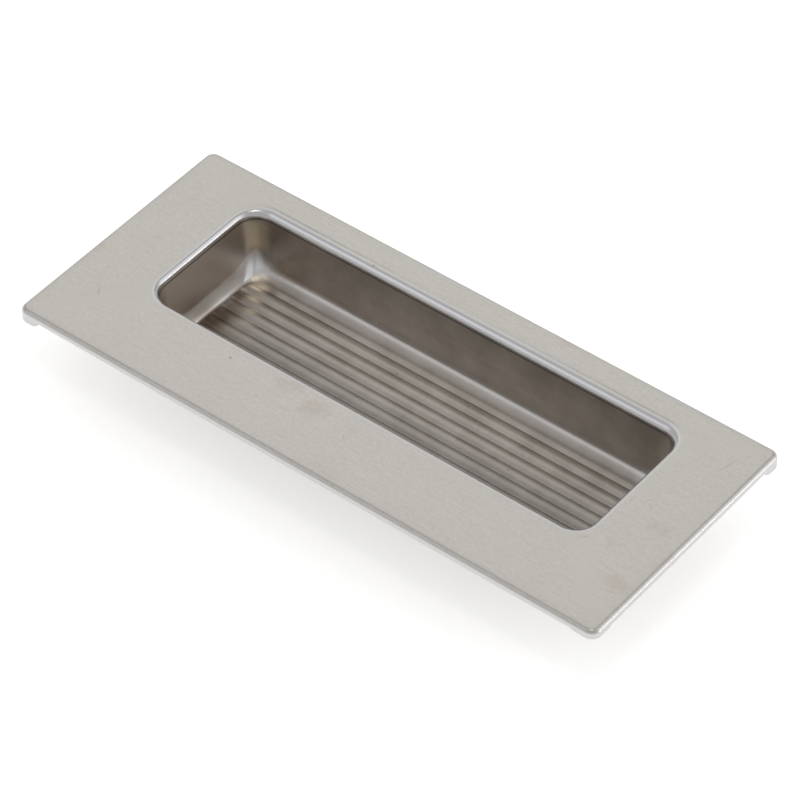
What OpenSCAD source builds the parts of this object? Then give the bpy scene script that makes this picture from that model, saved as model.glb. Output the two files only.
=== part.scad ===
/* [Plate] */
// Length of the face plate
plate_l = 120; // [98:1:200]
// Width of the face plate
plate_w = 50; // [42:1:100]
// Radius of the plate's four corners, seen from the front
plate_corner_r = 1.8; // [1.1:0.1:5]
// Thickness of the sheet that the whole handle is pressed from
sheet_t = 0.8; // [0.5:0.1:1.2]

/* [Rim] */
// Radius inside the bend from the face down into the rim
rim_inner_r = 0.2; // [0.1:0.1:0.8]
// Straight height of the rim below its bend
rim_straight = 0.4; // [0.1:0.1:6]

/* [Corner ears] */
// How far an ear hangs below the rim at a plate corner
ear_drop = 1.2; // [0.4:0.1:4]
// How far the short ear of the front right corner hangs below the rim
ear_drop_short = 0.3; // [0.1:0.1:1.2]
// Length of an ear along each of its two sides
ear_l = 4.6; // [3:0.1:12]
// Radius at the lower end of each side of an ear
ear_end_r = 2; // [0.4:0.1:4]

/* [Pocket] */
// Length of the finger pocket, just below the bend of its mouth
pocket_l = 90.6; // [50:0.2:112]
// Width of the finger pocket, just below the bend of its mouth
pocket_w = 27; // [18:0.2:34]
// Depth of the pocket, from the face down to the floor between its ribs
pocket_d = 12.5; // [8:0.5:20]
// Distance from the middle of the plate back to the middle of the pocket
pocket_shift = 4.4; // [0:0.2:9]
// Radius of the pocket's upright corners, just below the bend of its mouth
pocket_corner_r = 4; // [3:0.1:10]
// Radius underneath the bend from the face into the pocket
mouth_inner_r = 0.5; // [0.1:0.1:2]
// Slope of the pocket walls from upright, in degrees
wall_draft = 7; // [2:0.5:12]
// Radius inside the bend from the pocket walls into the floor
floor_r = 1.2; // [0.5:0.1:2]

/* [Ribs] */
// Distance between neighbouring ribs of the floor
rib_pitch = 2.5; // [1.5:0.1:6]
// Height of a rib above the floor
rib_h = 0.3; // [0.1:0.05:0.6]
// Width of the plain groove between two ribs
groove_w = 0.12; // [0.04:0.02:0.6]
// Plain strip between the floor bend and the ends of the ribs
rib_end_gap = 0.2; // [0.05:0.05:1.5]
// Radius of the ribbed area's corners, seen from the front
rib_corner_r = 3; // [1.5:0.1:6]

/* [Hidden] */
$fn = 96;

// Outer radii of the two bends, and the level of the rim's lower edge below the face
rim_r = rim_inner_r + sheet_t;
mouth_r = mouth_inner_r + sheet_t;
rim_bottom = -rim_r - rim_straight;

// Height of the face above the lowest point of the pocket's back
face_z = pocket_d + sheet_t;

// Half section of the pocket, measured out from the axis of its upright corners:
// the centre of the mouth bend, and the centre of the floor bend
mouth_c = [pocket_corner_r + mouth_r / cos(wall_draft), -mouth_r];
floor_bend_z = -pocket_d + floor_r;
floor_c = [
    pocket_corner_r + tan(wall_draft) * (floor_bend_z - floor_r * sin(wall_draft) + mouth_r)
        - floor_r * cos(wall_draft),
    floor_bend_z
];

// How far the flat floor lies inside the outline of the pocket
floor_inset = pocket_corner_r - floor_c[0];

// Ribs: an arc from one groove to the next, as many as cover the flat floor. Their length is
// taken to the hundredth, so that the ribbed area's arcs and straights meet exactly.
rib_r = (pow((rib_pitch - groove_w) / 2, 2) + pow(rib_h, 2)) / (2 * rib_h);
rib_n = round((pocket_w - 2 * floor_inset) / rib_pitch);
rib_l = round(100 * (pocket_l - 2 * floor_inset - 2 * rib_end_gap)) / 100;

// How far a cutting shape reaches past the surface that it opens
past = 1;

// A block with the outline of a rounded rectangle. Its edge section is the child, drawn from
// the axis of an upright corner outwards, and z_low and z_high are the section's levels.
module edged_block(l, w, r, z_low, z_high) {
    for (side = [0, 180]) rotate([0, 0, side]) {
        translate([-l / 2 + r, -w / 2 + r, 0]) rotate([90, 0, -90]) mirror([0, 0, 1])
            linear_extrude(l - 2 * r) children();
        translate([l / 2 - r, w / 2 - r, 0]) rotate([90, 0, 0])
            linear_extrude(w - 2 * r) children();
        translate([l / 2 - r, w / 2 - r, 0]) rotate_extrude(angle = 90) children();
        translate([-l / 2 + r, w / 2 - r, 0]) rotate([0, 0, 90])
            rotate_extrude(angle = 90) children();
    }
    translate([-l / 2 + r, -w / 2 + r, z_low]) cube([l - 2 * r, w - 2 * r, z_high - z_low]);
}

// Edge section of the plate: flat on top, rounded over, then straight down
module plate_section(corner_r, bend_r, top, bottom) {
    translate([0, bottom]) square([corner_r, top - bend_r - bottom]);
    translate([0, top - bend_r]) square([corner_r - bend_r, bend_r]);
    intersection() {
        translate([corner_r - bend_r, top - bend_r]) circle(bend_r);
        translate([corner_r - bend_r, top - bend_r]) square(bend_r);
    }
}

// Edge section of the pocket: inside at grow = 0, outside at grow = sheet_t. Its levels run
// from the floor up to top, and the mouth bend is rounded away from it.
module pocket_section(grow, top) {
    slope = [cos(wall_draft), -sin(wall_draft)];
    difference() {
        union() {
            polygon([
                [0, -pocket_d - grow],
                [floor_c[0], -pocket_d - grow],
                floor_c + (floor_r + grow) * slope,
                mouth_c - (mouth_r - grow) * slope,
                mouth_c,
                [mouth_c[0], top],
                [0, top]
            ]);
            intersection() {
                translate(floor_c) circle(floor_r + grow);
                translate([floor_c[0], -pocket_d - grow]) square(floor_r + grow);
            }
        }
        translate(mouth_c) circle(mouth_r - grow);
    }
}

// The plate with its rim turned down, without the pocket's opening
module flange() {
    difference() {
        edged_block(plate_l, plate_w, plate_corner_r, rim_bottom, 0)
            plate_section(plate_corner_r, rim_r, 0, rim_bottom);
        edged_block(plate_l - 2 * sheet_t, plate_w - 2 * sheet_t, plate_corner_r - sheet_t,
                    rim_bottom - past, -sheet_t)
            plate_section(plate_corner_r - sheet_t, rim_inner_r, -sheet_t, rim_bottom - past);
    }
}

// Outline of a rounded rectangle
module rounded_rectangle(l, w, r) {
    square([l - 2 * r, w], center = true);
    square([l, w - 2 * r], center = true);
    for (x = [-1, 1], y = [-1, 1]) translate([x * (l / 2 - r), y * (w / 2 - r)]) circle(r);
}

// One side of an ear, seen along the other side: its lower edge runs from the corner and rises
// in an arc, which meets the rim's edge at ear_l
module ear_side(drop) {
    rise = ear_end_r < drop ? ear_end_r : sqrt(drop * (2 * ear_end_r - drop));
    translate([0, rim_bottom - drop]) square([ear_l - rise, drop + rim_r]);
    translate([ear_l - rise, rim_bottom - drop + ear_end_r]) {
        circle(ear_end_r);
        translate([-ear_end_r, 0]) square([2 * ear_end_r, drop + rim_r]);
    }
}

// An ear hangs from the rim round the back right corner of the plate
module ear(drop) {
    intersection() {
        translate([0, 0, rim_bottom - drop - past]) linear_extrude(drop + past + rim_straight / 2)
            difference() {
                rounded_rectangle(plate_l, plate_w, plate_corner_r);
                rounded_rectangle(plate_l - 2 * sheet_t, plate_w - 2 * sheet_t,
                                  plate_corner_r - sheet_t);
            }
        translate([plate_l / 2, plate_w / 2, 0]) rotate([90, 0, 0])
            linear_extrude(plate_w / 2) mirror([1, 0]) ear_side(drop);
        translate([plate_l / 2, plate_w / 2, 0]) rotate([90, 0, -90])
            linear_extrude(plate_l / 2) ear_side(drop);
    }
}

module ears() {
    ear(ear_drop);
    mirror([1, 0, 0]) ear(ear_drop);
    rotate([0, 0, 180]) ear(ear_drop);
    mirror([0, 1, 0]) ear(ear_drop_short);
}

// Cylinders along the floor, one for each rib, cut to the ribbed area at a length and between
// two levels: the ribs themselves, and the channels beneath them
module ribs(l, r, bottom, top) {
    intersection() {
        translate([0, 0, bottom]) linear_extrude(top - bottom)
            rounded_rectangle(l, rib_n * rib_pitch, rib_corner_r);
        union() for (k = [0 : rib_n - 1])
            translate([-pocket_l / 2, (k - (rib_n - 1) / 2) * rib_pitch,
                       -pocket_d + rib_h - rib_r])
                rotate([0, 90, 0]) cylinder(r = r, h = pocket_l);
    }
}

// The plate and the pocket, with a plain floor
module plain_sheet() {
    difference() {
        union() {
            flange();
            ears();
            translate([0, pocket_shift, 0])
                edged_block(pocket_l, pocket_w, pocket_corner_r, -pocket_d - sheet_t, -sheet_t / 2)
                    pocket_section(sheet_t, -sheet_t / 2);
        }
        translate([0, pocket_shift, 0])
            edged_block(pocket_l, pocket_w, pocket_corner_r, -pocket_d, past)
                pocket_section(0, past);
    }
}

// One pressed sheet: the ribs stand up from the pocket's floor and leave channels in its back
module recessed_handle() {
    color("silver") translate([0, 0, face_z]) difference() {
        union() {
            plain_sheet();
            translate([0, pocket_shift, 0])
                ribs(rib_l, rib_r, -pocket_d - sheet_t / 2, -pocket_d + rib_h + past);
        }
        translate([0, pocket_shift, 0])
            ribs(rib_l - 2 * sheet_t, rib_r - sheet_t, -pocket_d - sheet_t - past,
                 -pocket_d + rib_h);
    }
}

recessed_handle();
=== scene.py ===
import math

import bpy
from mathutils import Matrix, Vector


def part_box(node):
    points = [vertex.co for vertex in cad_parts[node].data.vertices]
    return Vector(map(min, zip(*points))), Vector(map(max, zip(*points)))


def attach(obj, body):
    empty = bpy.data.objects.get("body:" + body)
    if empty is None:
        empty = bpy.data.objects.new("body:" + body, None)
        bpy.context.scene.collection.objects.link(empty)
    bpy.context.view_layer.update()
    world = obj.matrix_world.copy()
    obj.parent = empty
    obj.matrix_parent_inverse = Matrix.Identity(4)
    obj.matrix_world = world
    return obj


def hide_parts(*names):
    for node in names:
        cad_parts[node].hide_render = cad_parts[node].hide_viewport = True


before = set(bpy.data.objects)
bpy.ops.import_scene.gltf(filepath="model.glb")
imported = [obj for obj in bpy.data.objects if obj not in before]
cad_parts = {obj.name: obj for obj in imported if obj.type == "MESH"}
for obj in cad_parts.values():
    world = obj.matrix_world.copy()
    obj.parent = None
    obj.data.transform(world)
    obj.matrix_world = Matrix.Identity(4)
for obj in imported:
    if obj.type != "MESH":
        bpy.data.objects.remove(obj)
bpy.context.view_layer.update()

# Sizes are in millimetres, as in the part's source, and become metres where a mesh is made.
MM = 0.001

# The plate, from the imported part
NODE = "recessed_handle"
LOW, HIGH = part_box(NODE)
PLATE_L = (HIGH[0] - LOW[0]) / MM
PLATE_W = (HIGH[1] - LOW[1]) / MM
FACE_Z = HIGH[2] / MM

# Sheet and rim, with heights measured from the face
SHEET_T = 0.8
PLATE_CORNER_R = 1.8
RIM_R = 1.0
RIM_BOTTOM = -1.4
SHEARED_R = 0.1

# A round corner is drawn with one point halfway, this share of its radius from both sides
HALFWAY = 0.3

# Ears: how far each hangs below the rim, their length from the corner, and the radius at their
# ends. Corners are counted front left, front right, back right, back left.
EAR_DROPS = (1.2, 0.3, 1.2, 1.2)
EAR_L = 4.6
EAR_END_R = 2.0

# Pocket: its size just below the mouth, and the place of its floor's middle. The middle of its
# walls lies a little behind that.
POCKET_L = 90.3
POCKET_W = 27.0
POCKET_D = 12.5
POCKET_X = 0.15
POCKET_Y = 4.4
WALLS_Y = 4.52
POCKET_CORNER_RS = (4.2, 3.5, 3.6, 4.0)
DRAFT = math.radians(7)

# Mouth: the level at which the pocket's size is taken, the radius of the bend above it, which
# is wider along the back, and the angle of that bend
MOUTH_LEVEL = -1.3
MOUTH_R = 1.2
MOUTH_R_BACK = 1.7
MOUTH_TURN = math.pi / 2 - DRAFT

# Bend from the walls to the floor, along the sides and at the ends: how far up the wall it
# starts, and the weight of the crease in which wall and floor would meet. The greater the
# weight, the closer the bend keeps to the crease.
FLOOR_RISE = 2.0
FLOOR_RISE_END = 2.7
FLOOR_WEIGHT = 1.0
FLOOR_WEIGHT_END = 0.45

# How much higher than the bend's foot the crease lies along the sides, and how far outside the
# foot it lies at the ends
FLOOR_SLOPE = 0.3
FLOOR_FOOT_END = 1.2

# Floor corners: their radius seen from the front, how far up the wall and along the sides the
# floor bend widens there, the weight of its crease, and the power by which the widening fades
FLOOR_CORNER_R = 3.2
CORNER_RISE = 5.2
CORNER_REACH = 7.5
CORNER_WEIGHT = 0.5
CORNER_POWER = 2.2

# Ribs of the floor. At the sides the floor ends just past the crest of the last rib.
RIB_PITCH = 2.5
RIB_H = 0.3
RIB_N = 9
GROOVE_W = 0.12
FLOOR_PAST_CREST = 0.1

# Half length and half width of the floor inside its bend
FLOOR_HALF_L = (POCKET_L / 2 - (POCKET_D + MOUTH_LEVEL) * math.tan(DRAFT)
                - FLOOR_FOOT_END)
FLOOR_HALF_W = RIB_PITCH * (RIB_N // 2) + FLOOR_PAST_CREST

# Rings round the ribs: how far inside the floor's outline at its ends and its sides, and the
# share of their height that the ribs have reached there
RIB_RINGS = ((0.2, 0.01, 0), (0.23, 0.02, 0.5), (0.29, 0.03, 0.8), (0.38, 0.04, 0.95),
             (0.55, 0.05, 1))

# How many steps the bends and the wall are made in, and the shares of the way from the mouth to
# the rim at which the face has a ring
FLOOR_BEND_STEPS = 8
WALL_STEPS = 5
MOUTH_STEPS = 10
RIM_STEPS = 8
FACE_SHARES = (0.015, 0.035, 0.06, 0.1, 0.16, 0.26, 0.4, 0.6, 0.78, 0.88, 0.94, 0.97, 0.99)

# Rows of points across a rib, as shares of half its width, and the least distance of a row from
# the floor's outline and from the end of the floor's straight side
ROW_SHARES = (0, 0.3, 0.57, 0.8126, 0.93, 1)
ROW_GAP = 0.02
STRAIGHT_GAP = 0.01

# A corner's arc has points where it meets the rows that lie ARC_START or more past its start,
# and those of ARC_DEGREES that are ARC_STEP radians or more past the last row
ARC_DEGREES = (60, 70, 80)
ARC_START = 0.05
ARC_STEP = 0.1

# Distances from the corners at which the long sides of the pocket and the plate have points,
# how many more lie evenly between those, and the length that the pocket's corners take
NEAR_CORNER = (0, 0.4, 0.8, 1.2, 1.7, 2.3, 3, 3.8, 4.8)
NEAR_EAR = (0, 0.5, 0.97, 1.3, 1.6, 1.9, 2.2, 2.5, 2.8)
MIDDLE_COUNT = 30
CORNERS_L = 8

# Faces that meet at more than this are shaded with an edge between them
SHARP_ANGLE = math.radians(50)

# How deep and how far from the mouth the face is drawn down, and the same at the rim
DRAW_DEPTH = 0.11
DRAW_REACH = 0.8
ROLL_DEPTH = 0.05
ROLL_REACH = 0.9

# How much wider the burnish of the floor bend, with its painted highlight, is in the corners and
# at the ends, and how strong it is on the rim's sheared edge
BURNISH_AND_SHEEN_CORNER = 3
BURNISH_AND_SHEEN_END = 2.5
BURNISH_AND_SHEEN_EDGE = 0.6

# Upright bands of the pocket's corners, a warm painted reflection: the depths below the face
# between which they lie, and the lengths over which they fade at each. Their middle and half
# width are shares of a quarter turn round an axis inside the corner, which is UPRIGHT_AXIS from
# both walls. UPRIGHT_RIGHT is their strength on the right.
UPRIGHT_DEPTHS = (1.5, 8.6)
UPRIGHT_FADES = (1.2, 2)
UPRIGHT_MIDDLE = 0.55
UPRIGHT_SPREAD = 0.45
UPRIGHT_AXIS = 4.3
UPRIGHT_RIGHT = 0.2

# Facets of the floor corners, which are painted light: the depth where their painted light
# starts, the depth it fades over, and its reach along the sides
VERTEX_DEPTH = 7.6
VERTEX_FADE = 1.5
VERTEX_REACH = 6

# A point is in the pocket when it is no further than this outside its outline
OUTLINE_SLACK = 0.5

# Painted shade in the crease along the ends of the ribs: how dark it is on each ring of
# RIB_RINGS, how far from the floor's ends it fades out, and the part of its darkness over which
# its colour shows, and over which it hides the warm painted glints
FOOT_SHADE = (0.5, 1, 1, 1, 0.35)
FOOT_SHADE_REACH = 3
FOOT_SHADE_RANGE = (0.2, 0.9)
WARM_GLINT_HIDDEN_RANGE = (0.2, 0.6)

# Thin line below the mouth: the levels between which it grows dark, and light again
DIE_LINE_LEVELS = tuple((FACE_Z - depth) * MM for depth in (1.75, 1.6, 1.45, 1.3))

# Steel of the face and of the pocket, as linear colours: the range of each, and its streaks and
# clouds. The pocket's colours are darker than the face's as painted shade, and the last colour is
# more painted shade, multiplied onto the level parts of the pocket.
FACE_COLOR_LOW = (0.35, 0.335, 0.313, 1)
FACE_COLOR_HIGH = (0.685, 0.658, 0.624, 1)
FACE_COLOR_STREAK = (0.60, 0.585, 0.565, 1)
FACE_COLOR_CLOUD = (0.45, 0.42, 0.385, 1)
POCKET_COLOR_LOW = (0.365, 0.33, 0.297, 1)
POCKET_COLOR_HIGH = (0.475, 0.436, 0.40, 1)
POCKET_COLOR_STREAK = (0.50, 0.475, 0.45, 1)
RIB_PAINTED_SHADE = (0.83, 0.84, 0.84, 1)

# The bends of the mouth and the rim, the floor bend along the sides and at the ends, the upright
# corners, the facets of the floor corners from the ends and from the sides, the end walls, and
# the two lines. The bends are lighter than the steel around them as a painted highlight, the
# upright corners are a painted warm reflection, the facets and the end walls are painted light,
# and the line along the ends of the ribs is painted shade.
BEND_COLOR = (0.62, 0.62, 0.64, 1)
FLOOR_BEND_COLOR = (0.53, 0.515, 0.50, 1)
END_BEND_PAINTED_HIGHLIGHT = (0.97, 0.96, 0.94, 1)
CORNER_REFLECTION_COLOR = (1.0, 0.86, 0.66, 1)
VERTEX_PAINTED_LIGHT = (0.98, 0.98, 1.0, 1)
VERTEX_SIDE_PAINTED_LIGHT = (0.66, 0.65, 0.67, 1)
END_WALL_PAINTED_LIGHT = (0.69, 0.613, 0.553, 1)
DIE_LINE_COLOR = (0.13, 0.12, 0.115, 1)
FOOT_SHADE_COLOR = (0.10, 0.08, 0.07, 1)

# How strongly the streaks, clouds, painted warm reflection of the upright corners, burnish with
# its painted highlight, and lines show
FACE_STREAKS = 0.10
FACE_CLOUDS = 0.12
POCKET_STREAKS = 0.25
UPRIGHT_STRENGTH = 0.9
BURNISH_AND_SHEEN_STRENGTH = 0.8
DIE_LINE_STRENGTH = 0.8

# Painted light and shade in the pocket, lighter towards its middle and its back and darker
# towards
# its front: how light it is painted along the plate and across it, from one place to another,
# measured from the plate's middle, and the share of its colour at each
PAINTED_LIGHT_ALONG = (8 * MM, 42 * MM, 1.12, 1.0)
PAINTED_LIGHT_ACROSS = (-7 * MM, 14 * MM, 0.66, 1.1)

# Parts of a surface's normal, 1 where it points straight that way, between which the surface
# comes to count as an end wall, as level, as facing an end, and as facing up
END_WALL_TURN = (0.8, 0.97)
LEVEL_TURN = (0.6, 0.9)
SIDEWAYS_TURN = (0.35, 0.7)
UPWARD_TURN = (0.1, 0.5)

# Roughness, and how much it varies on the face and in the pocket and grows under smudges
FACE_ROUGH = 0.38
POCKET_ROUGH = 0.34
RIB_ROUGH = 0.39
BEND_ROUGH = 0.24
FLOOR_BEND_ROUGH = 0.33
FACE_ROUGH_SPREAD = 0.10
POCKET_ROUGH_SPREAD = 0.12
SMUDGE_ROUGH = 0.05

# Brushing: how strong and how high its bumps are
BUMP_STRENGTH = 0.25
BUMP_H = 0.01

# Patterns on the blank: how fine each is along and across the plate, its detail and roughness
BRUSHED = (250, 4200, 3, 0.6)
GRAIN = (1500, 1500, 4, 0.65)
STREAKED = (30, 1100, 3, 0.55)
CLOUDED = (60, 60, 3, 0.55)
PULLED = (140, 140, 4, 0.6)

# Part of a pattern's range that is used, and the part of drawing over which a place comes to
# count as deep in the pocket
PATTERN_RANGE = (0.3, 0.7)
CLOUD_RANGE = (0.35, 0.7)
DEEP_RANGE = (0.9, 1)

# Marks of handling on the face: x, y, half length, half width, turn in degrees and strength of
# each, in millimetres from the plate's middle. The smudges' edges waver by SMUDGE_WAVER, and
# their faintest blotches keep SMUDGE_LEAST of their strength. Waver and blotches have a scale and
# a detail, and the blotches a roughness and the part of their range that is used.
SMUDGE_WAVER = 2.5
SMUDGE_LEAST = 0.35
WAVERS = (350, 4)
BLOTCHES = (900, 3, 0.6)
BLOTCH_RANGE = (0.3, 0.65)
SMUDGE_COLOR = (0.955, 0.922, 0.885, 1)
SMUDGES = ((-13, -11.6, 4.5, 2.0, 0, 0.8), (-5.5, -13, 4.2, 2.6, 20, 1.0),
           (-9, -15.8, 2.5, 0.9, 40, 0.5), (1.5, -12.5, 3.0, 1.3, -20, 0.6),
           (54.8, -0.8, 3.2, 1.7, 25, 1.0), (50.2, -8, 1.6, 2.2, 0, 0.7),
           (45.8, -9, 2.0, 0.8, 30, 0.7), (56, -14, 4.0, 2.6, 0, 1.0),
           (59, -7, 0.8, 3.0, 0, 0.7), (47.2, 2, 0.7, 3.4, 0, 0.5),
           (18, 24, 2.2, 0.8, 0, 0.6), (-58.6, -6, 1.6, 2.6, 0, 0.8),
           (-53.5, -12, 4.2, 1.0, -60, 0.6), (-54, 12, 1.3, 1.0, 0, 0.5),
           (5, -23, 5.0, 1.2, 0, 0.4))
SPECK_COLOR = (0.16, 0.14, 0.12, 1)
SPECKS = ((-24, -12.5, 0.3, 0.22, 0, 0.9), (-19.4, 19.2, 0.3, 0.15, 30, 0.8),
          (55, 17.5, 2.7, 0.12, 80, 0.35), (2.4, -15.4, 0.9, 0.1, -45, 0.4),
          (-51.8, -13.6, 1.6, 0.12, -55, 0.35), (-8.1, 10.9, 0.25, 0.2, 0, 0.8),
          (6.2, 12.0, 0.25, 0.2, 0, 0.8), (20.5, 4.4, 0.25, 0.2, 0, 0.8),
          (49.6, 3.5, 1.2, 0.1, 60, 0.3), (50.6, 2.4, 0.9, 0.1, -20, 0.25),
          (54.6, -3.2, 1.5, 0.1, 30, 0.25), (46.2, -9.2, 1.3, 0.12, 45, 0.3))

# The same on the left ends of the ribs: a painted dark reflection of the walls, and warm painted
# glints beside it
DARK_REFLECTION_COLOR = (0.42, 0.345, 0.285, 1)
DARK_REFLECTION_SPOTS = ((-40.9, 2.8, 3.9, 6.4, -15, 1.0), (-41.3, 9.0, 1.8, 1.7, 0, 0.8),
              (-37.4, 13.4, 1.8, 1.2, 0, 0.5))
WARM_GLINT_COLOR = (0.98, 0.85, 0.62, 1)
WARM_GLINTS = ((-41.7, 14.2, 1.2, 0.9, 30, 0.5), (-40.6, 15.2, 1.3, 0.6, 0, 0.35),
              (-39.9, 12.7, 2.4, 1.2, 20, 0.65), (-38.5, 10.1, 2.4, 1.0, 0, 0.6),
              (-37.1, 7.6, 2.2, 0.9, 0, 0.45), (-36.0, 5.1, 2.0, 0.9, 0, 0.25))


# Ribs

def rib_height(y, grow):
    """Height of the ribbed floor, or with grow of its back, above the grooves. y is measured
    from the pocket's middle."""
    half = (RIB_PITCH - GROOVE_W) / 2
    radius = (half ** 2 + RIB_H ** 2) / (2 * RIB_H)
    last = RIB_N // 2
    y -= RIB_PITCH * max(-last, min(last, round(y / RIB_PITCH)))
    rise = math.sqrt(max((radius - grow) ** 2 - y ** 2, 0))
    return max(RIB_H - radius + rise, -grow)


def rib_rows(half_width):
    """Distances from the pocket's middle at which the floor has a row of points."""
    half = (RIB_PITCH - GROOVE_W) / 2
    across = [half * share for share in ROW_SHARES]
    rows = {round(k * RIB_PITCH + side * y, 4)
            for k in range(RIB_N // 2 + 1) for y in across for side in (-1, 1)}
    return sorted(y for y in rows if 0 <= y < half_width - ROW_GAP)


# Stations: every ring of the sheet is a rounded rectangle with the same number of points, so
# that neighbouring rings are joined one to one. A ring runs anticlockwise from the left end of
# the front side.

def corner_angles(rows, half_width, radius):
    """Angles above the short side at which a corner's arc meets the floor's rows."""
    straight = half_width - radius
    angles = [math.asin((y - straight) / radius) for y in rows if y > straight + ARC_START]
    further = [math.radians(degrees) for degrees in ARC_DEGREES]
    return angles + [angle for angle in further if angle > angles[-1] + ARC_STEP]


def side_shares(length, near_ends, middle_count):
    """Shares along a straight side: at near_ends from each end, and evenly in between."""
    first = [d / length for d in near_ends]
    step = (1 - 2 * first[-1]) / (middle_count + 1)
    middle = [first[-1] + step * (k + 1) for k in range(middle_count)]
    return first + middle + [1 - share for share in reversed(first)]


class Stations:
    """Where the points of a ring lie: shares of its long and short sides, and angles of its
    corners, which are the same on every ring."""

    def __init__(self, long_shares, short_shares, angles):
        self.list = []
        for corner in range(4):
            shares = short_shares if corner % 2 else long_shares
            self.list += [(corner, "side", share) for share in shares]
            following = (corner + 1) % 4
            turns = [math.pi / 2 - a for a in reversed(angles)] if following % 2 else angles
            self.list += [(following, "arc", turn) for turn in turns]

    def place(self, index, half_x, half_y, radii):
        """A station's point and outward direction on a rounded rectangle."""
        corner, kind, value = self.list[index]
        centres = [Vector((sx * (half_x - r), sy * (half_y - r)))
                   for (sx, sy), r in zip(((-1, -1), (1, -1), (1, 1), (-1, 1)), radii)]
        if kind == "arc":
            turn = math.pi / 2 * (corner - 2) + value
            out = Vector((math.cos(turn), math.sin(turn)))
            return centres[corner] + radii[corner] * out, out
        turn = math.pi / 2 * (corner - 1)
        out = Vector((math.cos(turn), math.sin(turn)))
        following = (corner + 1) % 4
        start = centres[corner] + radii[corner] * out
        end = centres[following] + radii[following] * out
        return start.lerp(end, value), out


def pocket_point(stations, index, reach):
    """A point at reach outside the pocket's outline, which is taken at MOUTH_LEVEL."""
    radii = [r + reach for r in POCKET_CORNER_RS]
    point, out = stations.place(index, POCKET_L / 2 + reach, POCKET_W / 2 + reach, radii)
    return point + Vector((POCKET_X, WALLS_Y)), out


def floor_point(stations, index, end_inset, side_inset):
    """A point of the floor's outline, or inside it by an inset at its ends and its sides."""
    radii = [FLOOR_CORNER_R - side_inset] * 4
    point, out = stations.place(index, FLOOR_HALF_L - end_inset, FLOOR_HALF_W - side_inset,
                                radii)
    return point + Vector((POCKET_X, POCKET_Y)), out


def plate_point(stations, index, inset):
    """A point of the plate's outline, or inset inside it."""
    radii = [PLATE_CORNER_R - inset] * 4
    return stations.place(index, PLATE_L / 2 - inset, PLATE_W / 2 - inset, radii)


# Sections

def raised(point, z):
    """A point of the plan, at height z from the face."""
    return Vector((point.x, point.y, z))


def wall_reach(z, grow):
    """How far the pocket's wall, or with grow its back, lies outside the outline at height z."""
    return grow / math.cos(DRAFT) + (z - MOUTH_LEVEL) * math.tan(DRAFT)


def corner_widening(point):
    """1 in the middle of a floor corner, falling to 0 at CORNER_REACH along the sides."""
    along_x = FLOOR_HALF_L - abs(point.x - POCKET_X)
    along_y = FLOOR_HALF_W - abs(point.y - POCKET_Y)
    nearest = FLOOR_CORNER_R * (1 - math.sqrt(0.5))
    share = 1 - (max(along_x, along_y) - nearest) / (CORNER_REACH - nearest)
    return min(max(share, 0), 1) ** CORNER_POWER


def corner_painted_light(point):
    """1 in the middle of an upright corner of the pocket, where a warm reflection is painted, and
    1 in the middle of the facet below it, where light is painted."""
    deep = FACE_Z - point.z
    along_x = POCKET_L / 2 - abs(point.x - POCKET_X)
    along_y = POCKET_W / 2 - abs(point.y - POCKET_Y)
    top, bottom = UPRIGHT_DEPTHS
    if min(along_x, along_y) < -OUTLINE_SLACK or deep < top:
        return 0, 0
    side = math.atan2(UPRIGHT_AXIS - along_y, UPRIGHT_AXIS - along_x) / (math.pi / 2)
    across = max(1 - ((side - UPRIGHT_MIDDLE) / UPRIGHT_SPREAD) ** 2, 0)
    top_fade, bottom_fade = UPRIGHT_FADES
    upright = across * max(min((deep - top) / top_fade, 1, (bottom - deep) / bottom_fade), 0)
    upright *= UPRIGHT_RIGHT if point.x > 0 else 1
    near = max(1 - (max(along_x, along_y) / VERTEX_REACH) ** 4, 0)
    return upright, near * max(min((deep - VERTEX_DEPTH) / VERTEX_FADE, 1), 0)


def side_height(point, out, grow):
    """Height of the floor's outline above the grooves: by the last rib's crest at the sides, and
    level with the grooves at the ends."""
    return (rib_height(point.y - POCKET_Y, grow) + grow) * out.y ** 2 - grow


def floor_bend(stations, index, grow, share):
    """A point of the bend from the wall (share 0) to the flat floor (share 1)."""
    foot, out = floor_point(stations, index, 0, 0)
    corner = corner_widening(foot)
    plain_rise = FLOOR_RISE * out.y ** 2 + FLOOR_RISE_END * out.x ** 2
    rise = plain_rise * (1 - corner) + CORNER_RISE * corner
    plain_weight = FLOOR_WEIGHT * out.y ** 2 + FLOOR_WEIGHT_END * out.x ** 2
    weight = plain_weight * (1 - corner) + CORNER_WEIGHT * corner
    slope = FLOOR_SLOPE * (1 - corner) * out.y ** 2
    wall_z = -POCKET_D + rise - grow * math.sin(DRAFT)
    floor_z = -POCKET_D + side_height(foot, out, grow)
    wall, out = pocket_point(stations, index, wall_reach(wall_z, grow))
    crease, out = pocket_point(stations, index, wall_reach(floor_z + slope, grow))
    weights = ((1 - share) ** 2, 2 * share * (1 - share) * weight, share ** 2)
    points = (raised(wall, wall_z), raised(crease, floor_z + slope), raised(foot, floor_z))
    total = sum((w * p for w, p in zip(weights, points)), Vector((0, 0, 0)))
    return total / sum(weights), out


def mouth_bend(stations, index, grow, share):
    """A point of the bend from the wall (share 0) to the face (share 1)."""
    turn = MOUTH_TURN * (1 - share)
    point, out = pocket_point(stations, index, 0)
    full = MOUTH_R + (MOUTH_R_BACK - MOUTH_R) * max(out.y, 0) ** 2
    radius = full - grow
    reach = wall_reach(-full, full) - radius * math.sin(turn)
    point, out = pocket_point(stations, index, reach)
    z = -full + radius * math.cos(turn) - DRAW_DEPTH * share
    return raised(point, z), out


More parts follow.
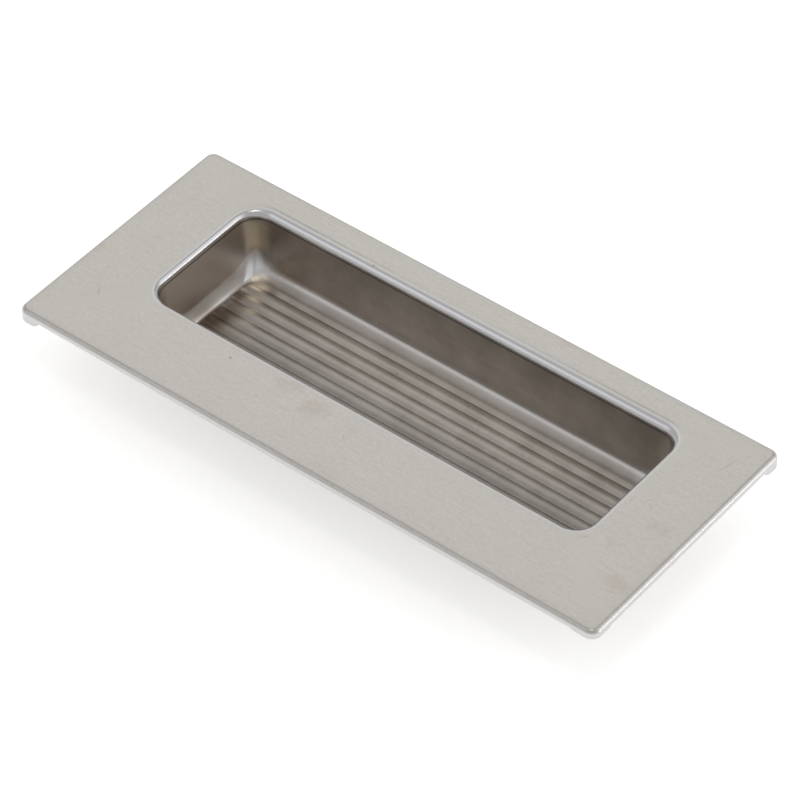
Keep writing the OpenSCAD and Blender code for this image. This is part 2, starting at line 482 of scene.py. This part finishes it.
def wall(stations, index, grow, share):
    """A point of the wall, from the floor bend (share 0) to the mouth bend (share 1)."""
    foot, out = floor_bend(stations, index, grow, 0)
    top, out = mouth_bend(stations, index, grow, 0)
    z = foot.z + share * (top.z - foot.z)
    point, out = pocket_point(stations, index, wall_reach(z, grow))
    return raised(point, z), out


def rim_bend(stations, index, grow, share):
    """A point of the bend from the face (share 0) to the rim (share 1)."""
    turn = math.pi / 2 * share
    radius = RIM_R - grow
    point, out = plate_point(stations, index, RIM_R - radius * math.sin(turn))
    z = -RIM_R + radius * math.cos(turn) - ROLL_DEPTH * (1 - share)
    return raised(point, z), out


def ear_drop(stations, index):
    """How far the rim's edge lies below its plain level at a station."""
    point, out = plate_point(stations, index, 0)
    corner = (2 if point.y > 0 else 0) + (1 if (point.x > 0) != (point.y > 0) else 0)
    drop = EAR_DROPS[corner]
    rise = EAR_END_R if EAR_END_R < drop else math.sqrt(drop * (2 * EAR_END_R - drop))
    along = max(min(PLATE_L / 2 - abs(point.x), EAR_L), min(PLATE_W / 2 - abs(point.y), EAR_L))
    past_flat = max(along - (EAR_L - rise), 0)
    return max(drop - EAR_END_R + math.sqrt(EAR_END_R ** 2 - past_flat ** 2), 0)


def rim_edge(stations, index, inset, height):
    """A point at the rim's lower edge, inset from the outside and height above the edge."""
    point, out = plate_point(stations, index, inset)
    z = RIM_BOTTOM - ear_drop(stations, index) + height
    return raised(point, z), out


def face(stations, plate_stations, index, grow, share):
    """A point of the flat face from the mouth bend (share 0) to the rim bend (share 1)."""
    inner, out = mouth_bend(stations, index, grow, 1)
    outer, out = rim_bend(plate_stations, index, grow, 0)
    point = inner.lerp(outer, share)
    point.z = (-grow - DRAW_DEPTH * math.exp(-(point - inner).length / DRAW_REACH)
               - ROLL_DEPTH * math.exp(-(point - outer).length / ROLL_REACH))
    return point, out


def rib_end(stations, index, grow, end_inset, side_inset, share):
    """A point on the ends of the ribs, which have reached a share of their height there."""
    point, out = floor_point(stations, index, end_inset + grow, side_inset)
    share += (1 - share) * out.y ** 2
    height = rib_height(point.y - POCKET_Y, grow) + grow
    return raised(point, -POCKET_D - grow + share * height), out


def even_steps(count):
    """Shares from 0 to 1 in even steps."""
    return [k / count for k in range(count + 1)]


def skin_rings(stations, plate_stations, grow):
    """The rings of one side of the sheet, from the ribs out to the rim's edge. Each comes with
    its share of drawing, 1 in the pocket and 0 on the face, and of burnish with its painted
    highlight, 1 on bends."""
    count = range(len(stations.list))

    def ring(form, *values):
        return [form(stations, k, *values) for k in count]

    rings = [(1, 0, ring(rib_end, grow, *values)) for values in reversed(RIB_RINGS)]
    feet = [floor_point(stations, k, 0, 0) for k in count]
    widths = [1 + BURNISH_AND_SHEEN_CORNER * corner_widening(foot) + BURNISH_AND_SHEEN_END * out.x ** 2
              for foot, out in feet]
    for s in even_steps(FLOOR_BEND_STEPS):
        # This is 1 at two thirds of the way up the bend
        burnish_and_sheen = 27 / 4 * s * s * (1 - s)
        burnishes_and_sheens = [min(burnish_and_sheen * width, 1) for width in widths]
        rings.append((1, burnishes_and_sheens, ring(floor_bend, grow, 1 - s)))
    rings += [(1, 0, ring(wall, grow, s)) for s in even_steps(WALL_STEPS)[1:-1]]
    # The mouth's burnish and painted highlight grow over the first third of its bend and fade
    # over the last quarter
    rings += [(1 - s, min(3 * s, 4 * (1 - s), 1), ring(mouth_bend, grow, s))
              for s in even_steps(MOUTH_STEPS)]
    rings += [(0, 0, [face(stations, plate_stations, k, grow, s) for k in count])
              for s in FACE_SHARES]
    # The rim's burnish and painted highlight grow over the second half of its bend
    rings += [(0, max(2 * s - 1, 0), [rim_bend(plate_stations, k, grow, s) for k in count])
              for s in even_steps(RIM_STEPS)]
    return rings


def edge_rings(plate_stations):
    """The rings round the rim's sheared lower edge."""
    count = range(len(plate_stations.list))
    corners = ((0, SHEARED_R), (SHEARED_R * HALFWAY, SHEARED_R * HALFWAY), (SHEARED_R, 0),
               (SHEET_T - SHEARED_R / 2, 0), (SHEET_T, SHEARED_R / 2))
    return [(0, BURNISH_AND_SHEEN_EDGE, [rim_edge(plate_stations, k, inset, height) for k in count])
            for inset, height in corners]


# Meshes

class Sheet:
    """The pressed sheet's points, faces, and what its material needs at each point: where the
    point lay on the flat blank, and how far the sheet is drawn and bent there."""

    def __init__(self):
        self.points = []
        self.blank = []
        self.drawn = []
        self.bend = []
        self.faces = []
        self.rows = []

    def add_point(self, point, blank, drawn, bend):
        self.points.append((point + Vector((0, 0, FACE_Z))) * MM)
        self.blank.append(blank * MM)
        self.drawn.append(drawn)
        self.bend.append(bend)
        return len(self.points) - 1

    def add_ring(self, ring, drawn, bend, way):
        """Joins a ring to the last one. way is 1 while rings run outwards on the blank, and -1
        while they run back."""
        indices = []
        for k, (point, out) in enumerate(ring):
            flat = point.to_2d()
            if self.rows:
                last, last_blank = self.rows[-1][k][1:]
                step = point - last
                across = step.to_2d().dot(out)
                along = step.to_2d() - across * out
                flat = last_blank + along + way * math.hypot(across, step.z) * out
            here = bend[k] if isinstance(bend, list) else bend
            indices.append((self.add_point(point, flat.to_3d(), drawn, here), point, flat))
        if self.rows:
            inner = [entry[0] for entry in self.rows[-1]]
            outer = [entry[0] for entry in indices]
            for k in range(len(outer)):
                following = (k + 1) % len(outer)
                self.faces.append((inner[k], outer[k], outer[following], inner[following]))
        self.rows.append(indices)

    def add_floor(self, ring, long_count, path_count, grow):
        """Fills a ring with rows from its left path to its right path."""
        first = [entry[0] for entry in ring]
        places = [entry[1] for entry in ring]
        front = list(range(long_count))
        right = list(range(long_count, long_count + path_count))
        back = list(range(long_count + path_count, 2 * long_count + path_count))[::-1]
        left = list(range(2 * long_count + path_count, len(ring)))[::-1]
        grid = [[first[k] for k in front]]
        for start, end in zip(left, right):
            row = [first[start]]
            for share in (k / (long_count - 1) for k in range(1, long_count - 1)):
                point = places[start].lerp(places[end], share)
                point.z = -POCKET_D + rib_height(point.y - POCKET_Y, grow)
                row.append(self.add_point(point, Vector((point.x, point.y, 0)), 1, 0))
            grid.append(row + [first[end]])
        grid.append([first[k] for k in back])
        for below, above in zip(grid, grid[1:]):
            for k in range(long_count - 1):
                self.faces.append((below[k], below[k + 1], above[k + 1], above[k]))

    def foot_shade(self):
        """How dark the painted shade along the ends of the ribs is at each point."""
        line = [0] * len(self.points)
        for row, dark in zip(self.rows, reversed(FOOT_SHADE)):
            for index, point, flat in row:
                from_end = FLOOR_HALF_L - abs(point.x - POCKET_X)
                fade = math.sqrt(max(1 - from_end / FOOT_SHADE_REACH, 0))
                line[index] = dark * fade * rib_height(point.y - POCKET_Y, 0) / RIB_H
        return line

    def make(self, name, front_count):
        """Makes the object. The first front_count points are on the front of the sheet."""
        mesh = bpy.data.meshes.new(name)
        mesh.from_pydata(self.points, [], self.faces)
        blank = mesh.attributes.new("blank", "FLOAT_VECTOR", "POINT")
        blank.data.foreach_set("vector", [c for point in self.blank for c in point])
        uprights, vertices = zip(*(corner_painted_light(point / MM) if k < front_count else (0, 0)
                                   for k, point in enumerate(self.points)))
        inside = [k < front_count for k in range(len(self.points))]
        for key, values in (("drawn", self.drawn), ("bend", self.bend), ("upright", uprights),
                            ("vertex", vertices), ("line", self.foot_shade()),
                            ("inside", inside)):
            share = mesh.attributes.new(key, "FLOAT", "POINT")
            share.data.foreach_set("value", values)
        mesh.shade_smooth()
        mesh.set_sharp_from_angle(angle=SHARP_ANGLE)
        piece = bpy.data.objects.new(name, mesh)
        bpy.context.scene.collection.objects.link(piece)
        return piece


def make_stations():
    """Stations for the pocket's rings and for the plate's, which lie close together where the
    floor bend widens and where the ears are."""
    inset = RIB_RINGS[-1][1]
    half_width = FLOOR_HALF_W - inset
    radius = FLOOR_CORNER_R - inset
    straight = half_width - radius
    rows = rib_rows(half_width)
    angles = corner_angles(rows, half_width, radius)
    levels = [y for y in rows if y < straight - STRAIGHT_GAP] + [straight]
    levels = [-y for y in reversed(levels) if y > 0] + levels
    short = [(y + straight) / (2 * straight) for y in levels]
    pocket_long = side_shares(POCKET_L - CORNERS_L, NEAR_CORNER, MIDDLE_COUNT)
    plate_long = side_shares(PLATE_L - 2 * PLATE_CORNER_R, NEAR_EAR, MIDDLE_COUNT)
    plate_short = side_shares(PLATE_W - 2 * PLATE_CORNER_R, NEAR_EAR,
                              len(short) - 2 * len(NEAR_EAR))
    pocket = Stations(pocket_long, short, angles)
    plate = Stations(plate_long, plate_short, angles)
    return pocket, plate, len(pocket_long), len(short) + 2 * len(angles)


def make_handle():
    """The sheet's front from the ribs out to the rim's edge, and its back inwards again."""
    pocket, plate, long_count, path_count = make_stations()
    sheet = Sheet()
    for drawn, bend, ring in skin_rings(pocket, plate, 0) + edge_rings(plate):
        sheet.add_ring(ring, drawn, bend, 1)
    sheet.add_floor(sheet.rows[0], long_count, path_count, 0)
    front_count = len(sheet.points)
    for drawn, bend, ring in reversed(skin_rings(pocket, plate, SHEET_T)):
        sheet.add_ring(ring, drawn, bend, -1)
    back_first = len(sheet.faces)
    sheet.add_floor(sheet.rows[-1], long_count, path_count, SHEET_T)
    sheet.faces[back_first:] = [corners[::-1] for corners in sheet.faces[back_first:]]
    return sheet.make("pressed_sheet", front_count)


# Materials

class Nodes:
    """Shorthand for building one material's nodes."""

    def __init__(self, name):
        self.material = bpy.data.materials.new(name)
        self.material.use_nodes = True
        self.tree = self.material.node_tree
        self.shader = self.tree.nodes["Principled BSDF"]

    def add(self, kind, settings=(), inputs=()):
        node = self.tree.nodes.new("ShaderNode" + kind)
        for key, value in dict(settings).items():
            setattr(node, key, value)
        for key, value in dict(inputs).items():
            self.put(value, node.inputs[key])
        return node

    def put(self, value, socket):
        """Links a socket, or sets it where the value is plain."""
        if isinstance(value, bpy.types.NodeSocket):
            self.tree.links.new(value, socket)
        else:
            socket.default_value = value

    def math(self, operation, *values, clamp=False):
        node = self.add("Math", {"operation": operation, "use_clamp": clamp})
        for k, value in enumerate(values):
            self.put(value, node.inputs[k])
        return node.outputs[0]

    def vector(self, operation, *values):
        node = self.add("VectorMath", {"operation": operation})
        for k, value in enumerate(values):
            self.put(value, node.inputs[k])
        return node.outputs["Value" if operation == "LENGTH" else "Vector"]

    def attribute(self, name):
        return self.add("Attribute", {"attribute_name": name})

    def noise(self, vector, scale, detail, roughness):
        node = self.add("TexNoise", inputs={"Vector": vector, "Scale": scale, "Detail": detail,
                                            "Roughness": roughness})
        return node.outputs["Fac"]

    def ramp(self, value, low, high, to_low=0, to_high=1):
        """Maps a range smoothly to another, with its ends held."""
        node = self.add("MapRange", {"interpolation_type": "SMOOTHSTEP"},
                        {"Value": value, "From Min": low, "From Max": high, "To Min": to_low,
                         "To Max": to_high})
        return node.outputs["Result"]

    def mix(self, factor, first, second, blend="MIX"):
        node = self.add("Mix", {"data_type": "RGBA", "blend_type": blend},
                        {"Factor": factor})
        self.put(first, node.inputs[6])
        self.put(second, node.inputs[7])
        return node.outputs[2]


class Steel(Nodes):
    """Satin steel: brushed along the blank, burnished smoother on the bends that the die rubbed,
    where their lighter colour is a painted highlight, darker in the pocket as painted shade, with
    painted light, shade and reflections in the pocket, and the smudges and specks of handling."""

    def __init__(self, name):
        super().__init__(name)
        self.blank = self.attribute("blank").outputs["Vector"]
        self.drawn, self.bend, self.upright, self.vertex, self.line, front = (
            self.attribute(key).outputs["Fac"]
            for key in ("drawn", "bend", "upright", "vertex", "line", "inside"))
        self.place = self.add("TexCoord").outputs["Object"]
        self.x, self.y, self.z = self.add("SeparateXYZ", inputs={"Vector": self.place}).outputs
        self.flat = self.vector("MULTIPLY", self.place, (1, 1, 0))
        normal = self.add("NewGeometry").outputs["Normal"]
        turned = self.add("SeparateXYZ", inputs={"Vector": normal}).outputs
        self.endward = self.math("ABSOLUTE", turned["X"])
        self.upward = turned["Z"]
        self.fine = self.pattern(*BRUSHED)
        self.grain = self.pattern(*GRAIN)
        self.streak = self.pattern(*STREAKED)
        self.cloud = self.pattern(*CLOUDED)
        self.pull = self.pattern(*PULLED)
        self.inside = self.math("MULTIPLY", front, self.drawn)
        self.deep = self.ramp(self.drawn, *DEEP_RANGE)
        self.level = self.ramp(self.math("ABSOLUTE", self.upward), *LEVEL_TURN)
        # Burnish: smoother bends, whose lighter colour is a painted highlight
        self.burnish_and_sheen = self.math("MULTIPLY", self.bend, BURNISH_AND_SHEEN_STRENGTH)
        self.smudge = self.smudges()

    def pattern(self, along, across, detail, roughness):
        """A pattern on the blank, finer the greater the numbers along and across the plate."""
        stretched = self.vector("MULTIPLY", self.blank, (along, across, 1))
        return self.noise(stretched, 1, detail, roughness)

    def spots(self, place, spots, soft):
        """The strongest of several oval spots. Their edges fade from soft, a share of the way
        out."""
        total = 0.0
        for x, y, half_l, half_w, turn, strength in spots:
            mapped = self.add("Mapping", {"vector_type": "TEXTURE"},
                              {"Vector": place, "Location": (x * MM, y * MM, 0),
                               "Rotation": (0, 0, math.radians(turn)),
                               "Scale": (half_l * MM, half_w * MM, 1)}).outputs[0]
            spot = self.ramp(self.vector("LENGTH", mapped), soft, 1, strength, 0)
            total = self.math("MAXIMUM", total, spot)
        return total

    def smudges(self):
        """Smudges on the face, blotched and with wavering edges."""
        scale, detail = WAVERS
        noise = self.add("TexNoise", inputs={"Vector": self.place, "Scale": scale,
                                             "Detail": detail})
        waver = SMUDGE_WAVER * MM
        shift = self.vector("MULTIPLY_ADD", noise.outputs["Color"], (2 * waver, 2 * waver, 0),
                            (-waver, -waver, 0))
        smudge = self.spots(self.vector("ADD", self.flat, shift), SMUDGES, soft=0.1)
        blotch = self.ramp(self.noise(self.place, *BLOTCHES), *BLOTCH_RANGE, SMUDGE_LEAST, 1)
        smudge = self.math("MULTIPLY", blotch, smudge)
        return self.math("MULTIPLY", smudge, self.math("SUBTRACT", 1, self.drawn))

    def face_color(self):
        brushed = self.math("MULTIPLY", self.math("ADD", self.fine, self.grain), 0.5)
        color = self.mix(brushed, FACE_COLOR_LOW, FACE_COLOR_HIGH)
        streaks = self.ramp(self.streak, *PATTERN_RANGE, 0, FACE_STREAKS)
        color = self.mix(streaks, color, FACE_COLOR_STREAK)
        clouds = self.ramp(self.cloud, *CLOUD_RANGE, 0, FACE_CLOUDS)
        return self.mix(clouds, color, FACE_COLOR_CLOUD)

    def pocket_color(self):
        # The pocket's steel, darker than the face's as painted shade
        color = self.mix(self.ramp(self.pull, *PATTERN_RANGE), POCKET_COLOR_LOW,
                         POCKET_COLOR_HIGH)
        streaks = self.ramp(self.streak, *PATTERN_RANGE, 0, POCKET_STREAKS)
        color = self.mix(streaks, color, POCKET_COLOR_STREAK)
        # More painted shade on the level floor of the pocket
        color = self.mix(self.level, color, RIB_PAINTED_SHADE, "MULTIPLY")
        # Painted light and shade along and across the pocket
        painted_light = self.math("MULTIPLY", self.ramp(self.math("ABSOLUTE", self.x), *PAINTED_LIGHT_ALONG),
                          self.ramp(self.y, *PAINTED_LIGHT_ACROSS))
        color = self.mix(1.0, color, painted_light, "MULTIPLY")
        # Painted light: the end walls are painted lighter and warmer than the rest of the pocket
        end_wall_light = self.math("MULTIPLY", self.ramp(self.endward, *END_WALL_TURN), self.inside)
        color = self.mix(end_wall_light, color, END_WALL_PAINTED_LIGHT)
        # Painted warm reflection on the upright corners of the pocket
        upright = self.math("MULTIPLY", self.upright, UPRIGHT_STRENGTH)
        return self.mix(upright, color, CORNER_REFLECTION_COLOR)

    # The bends' colours, lighter than the steel around them as a painted highlight, and nearly
    # white on the bend at the ends
    def bend_color(self):
        sideways = self.math("MULTIPLY", self.inside, self.ramp(self.endward, *SIDEWAYS_TURN))
        floor_bend = self.mix(sideways, FLOOR_BEND_COLOR, END_BEND_PAINTED_HIGHLIGHT)
        # Painted light on the facets of the floor corners, lighter where they face the ends
        vertex = self.mix(sideways, VERTEX_SIDE_PAINTED_LIGHT, VERTEX_PAINTED_LIGHT)
        return self.mix(self.vertex, self.mix(self.deep, BEND_COLOR, floor_bend), vertex)

    def add_lines(self, color):
        """The thin line below the mouth, and the painted shade along the ends of the ribs."""
        lowest, low, high, highest = DIE_LINE_LEVELS
        line = self.math("MULTIPLY", self.ramp(self.z, lowest, low),
                         self.ramp(self.z, high, highest, 1, 0))
        line = self.math("MULTIPLY", line, self.math("MULTIPLY", self.deep, DIE_LINE_STRENGTH))
        color = self.mix(line, color, DIE_LINE_COLOR)
        # Painted shade in the crease along the ends of the ribs
        return self.mix(self.ramp(self.line, *FOOT_SHADE_RANGE), color, FOOT_SHADE_COLOR)

    def add_marks(self, color):
        """Smudges and specks, and the painted dark reflection and warm painted glints on the
        ribs.
        """
        color = self.mix(self.smudge, color, SMUDGE_COLOR, "MULTIPLY")
        ribs = self.math("MULTIPLY", self.ramp(self.upward, *UPWARD_TURN), self.inside)
        # Painted dark reflection of the walls on the left ends of the ribs
        dark_reflection = self.math("MULTIPLY", ribs, self.spots(self.flat, DARK_REFLECTION_SPOTS, soft=0.2))
        color = self.mix(dark_reflection, color, DARK_REFLECTION_COLOR, "MULTIPLY")
        # Warm painted glints, hidden under the painted shade at the ends of the ribs
        warm_glint = self.math("MULTIPLY", ribs, self.spots(self.flat, WARM_GLINTS, soft=0))
        warm_glint = self.math("MULTIPLY", warm_glint, self.ramp(self.line, *WARM_GLINT_HIDDEN_RANGE, 1, 0))
        color = self.mix(warm_glint, color, WARM_GLINT_COLOR)
        return self.mix(self.spots(self.flat, SPECKS, soft=0.3), color, SPECK_COLOR)

    def blend(self, factor, first, second):
        """Mixes two plain values."""
        return self.add("Mix", {"data_type": "FLOAT"},
                        {"Factor": factor, "A": first, "B": second}).outputs[0]

    def roughness(self):
        face = self.math("MULTIPLY_ADD", self.fine, FACE_ROUGH_SPREAD,
                         FACE_ROUGH - FACE_ROUGH_SPREAD / 2)
        least = POCKET_ROUGH_SPREAD / 2
        pocket = self.math("MULTIPLY_ADD", self.pull, POCKET_ROUGH_SPREAD,
                           self.ramp(self.level, 0, 1, POCKET_ROUGH - least, RIB_ROUGH - least))
        bends = self.ramp(self.deep, 0, 1, BEND_ROUGH, FLOOR_BEND_ROUGH)
        rough = self.blend(self.burnish_and_sheen, self.blend(self.drawn, face, pocket), bends)
        return self.math("ADD", rough, self.math("MULTIPLY", self.smudge, SMUDGE_ROUGH))

    def brushing(self):
        height = self.math("ADD", self.fine, self.math("MULTIPLY", self.pull, self.drawn))
        return self.add("Bump", inputs={"Strength": BUMP_STRENGTH, "Distance": BUMP_H * MM,
                                        "Height": height}).outputs[0]


def make_steel():
    """The handle's material, put together from its parts."""
    steel = Steel("satin_steel")
    color = steel.mix(steel.drawn, steel.face_color(), steel.pocket_color())
    color = steel.mix(steel.burnish_and_sheen, color, steel.bend_color())
    color = steel.add_marks(steel.add_lines(color))
    steel.put(color, steel.shader.inputs["Base Color"])
    steel.put(steel.roughness(), steel.shader.inputs["Roughness"])
    steel.put(steel.brushing(), steel.shader.inputs["Normal"])
    steel.shader.inputs["Metallic"].default_value = 1
    return steel.material


def make_floor_material():
    """Pale paper, which the camera and mirrored rays see as white where no shadow falls."""
    nodes = Nodes("pale_floor")
    nodes.shader.inputs["Base Color"].default_value = FLOOR_COLOR
    nodes.shader.inputs["Roughness"].default_value = FLOOR_ROUGH
    nodes.shader.inputs["Specular IOR Level"].default_value = 0
    path = nodes.add("LightPath")
    seen = nodes.math("ADD", path.outputs["Is Camera Ray"], path.outputs["Is Glossy Ray"],
                      clamp=True)
    nodes.shader.inputs["Emission Color"].default_value = (1, 1, 1, 1)
    nodes.put(nodes.math("MULTIPLY", seen, FLOOR_LIFT), nodes.shader.inputs["Emission Strength"])
    return nodes.material


# Stage

# Camera, with its angles in radians and its sensor in millimetres
CAMERA_AZIMUTH = 0.695038
CAMERA_ELEVATION = 0.782590
CAMERA_ROLL = -0.026835
CAMERA_DISTANCE = 699.108
CAMERA_TARGET = Vector((4.2132, -3.1891, FACE_Z))
FOCAL_LENGTH_PX = 4306.95
IMAGE_PX = 800
SENSOR_W = 36

# Floor: its size in metres, its colour and roughness, and what the camera sees on top of them
FLOOR_SIZE = 6
FLOOR_COLOR = (0.93, 0.93, 0.93, 1)
FLOOR_ROUGH = 0.9
FLOOR_LIFT = 0.45

# World, which grows brighter by WORLD_HORIZON from WORLD_RISE, the sine of an elevation, down to
# the horizon
WORLD_STRENGTH = 0.58
WORLD_HORIZON = 0.32
WORLD_RISE = 0.4

# Lamps: name, azimuth and elevation in degrees, distance and size in metres, power and colour
LAMPS = (("back_left_box", -140, 44, 1.8, (1.4, 1.4), 3.3, (1, 0.99, 0.97)),
         ("front_left_box", -40, 42, 1.6, (0.75, 0.75), 1.0, (0.95, 0.97, 1)),
         ("back_right_box", 125, 28, 1.7, (1.5, 1.4), 4.2, (1, 1, 1)),
         ("top_box", 40, 82, 1.5, (0.35, 0.35), 1.3, (1, 0.95, 0.86)),
         ("low_right_box", 123, 2, 1.8, (1.4, 0.5), 5.5, (0.85, 0.92, 1)))


def direction(azimuth, elevation):
    """From the object towards a place at azimuth, 0 in front and 90 on the right, in degrees."""
    a, e = math.radians(azimuth), math.radians(elevation)
    return Vector((math.sin(a) * math.cos(e), -math.cos(a) * math.cos(e), math.sin(e)))


def make_camera():
    data = bpy.data.cameras.new("camera")
    data.sensor_width = SENSOR_W
    data.lens = FOCAL_LENGTH_PX / IMAGE_PX * data.sensor_width
    camera = bpy.data.objects.new("camera", data)
    bpy.context.scene.collection.objects.link(camera)
    back = direction(math.degrees(CAMERA_AZIMUTH), math.degrees(CAMERA_ELEVATION))
    right = Vector((0, 0, 1)).cross(back).normalized()
    up = back.cross(right)
    c, s = math.cos(CAMERA_ROLL), math.sin(CAMERA_ROLL)
    rolled_right = c * right + s * up
    rolled_up = c * up - s * right
    place = (CAMERA_TARGET + CAMERA_DISTANCE * back) * MM
    turn = Matrix((rolled_right, rolled_up, back)).transposed().to_4x4()
    camera.matrix_world = Matrix.Translation(place) @ turn
    bpy.context.scene.camera = camera


def make_lamp(name, azimuth, elevation, distance, size, power, color):
    data = bpy.data.lights.new(name, "AREA")
    data.shape = "RECTANGLE"
    data.size, data.size_y = size
    data.energy = power
    data.color = color
    lamp = bpy.data.objects.new(name, data)
    bpy.context.scene.collection.objects.link(lamp)
    towards = direction(azimuth, elevation)
    lamp.matrix_world = (Matrix.Translation(towards * distance)
                         @ towards.to_track_quat("Z", "Y").to_matrix().to_4x4())


def make_world():
    world = bpy.data.worlds.new("studio")
    world.use_nodes = True
    background = world.node_tree.nodes["Background"]
    background.inputs["Color"].default_value = (1, 1, 1, 1)
    tree = world.node_tree
    place = tree.nodes.new("ShaderNodeTexCoord")
    split = tree.nodes.new("ShaderNodeSeparateXYZ")
    rise = tree.nodes.new("ShaderNodeMapRange")
    rise.interpolation_type = "SMOOTHERSTEP"
    rise.inputs["From Max"].default_value = WORLD_RISE
    rise.inputs["To Min"].default_value = WORLD_STRENGTH + WORLD_HORIZON
    rise.inputs["To Max"].default_value = WORLD_STRENGTH
    tree.links.new(place.outputs["Generated"], split.inputs[0])
    tree.links.new(split.outputs[2], rise.inputs["Value"])
    tree.links.new(rise.outputs["Result"], background.inputs["Strength"])
    bpy.context.scene.world = world


def make_stage(material):
    bpy.ops.mesh.primitive_plane_add(size=FLOOR_SIZE, location=(0, 0, 0))
    floor = bpy.context.object
    floor.name = "floor"
    floor.data.materials.append(material)


handle = make_handle()
handle.data.materials.append(make_steel())
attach(handle, "root")
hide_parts(NODE)
make_stage(make_floor_material())
make_camera()
make_world()
for lamp in LAMPS:
    make_lamp(*lamp)
bpy.context.scene.view_settings.view_transform = "Standard"
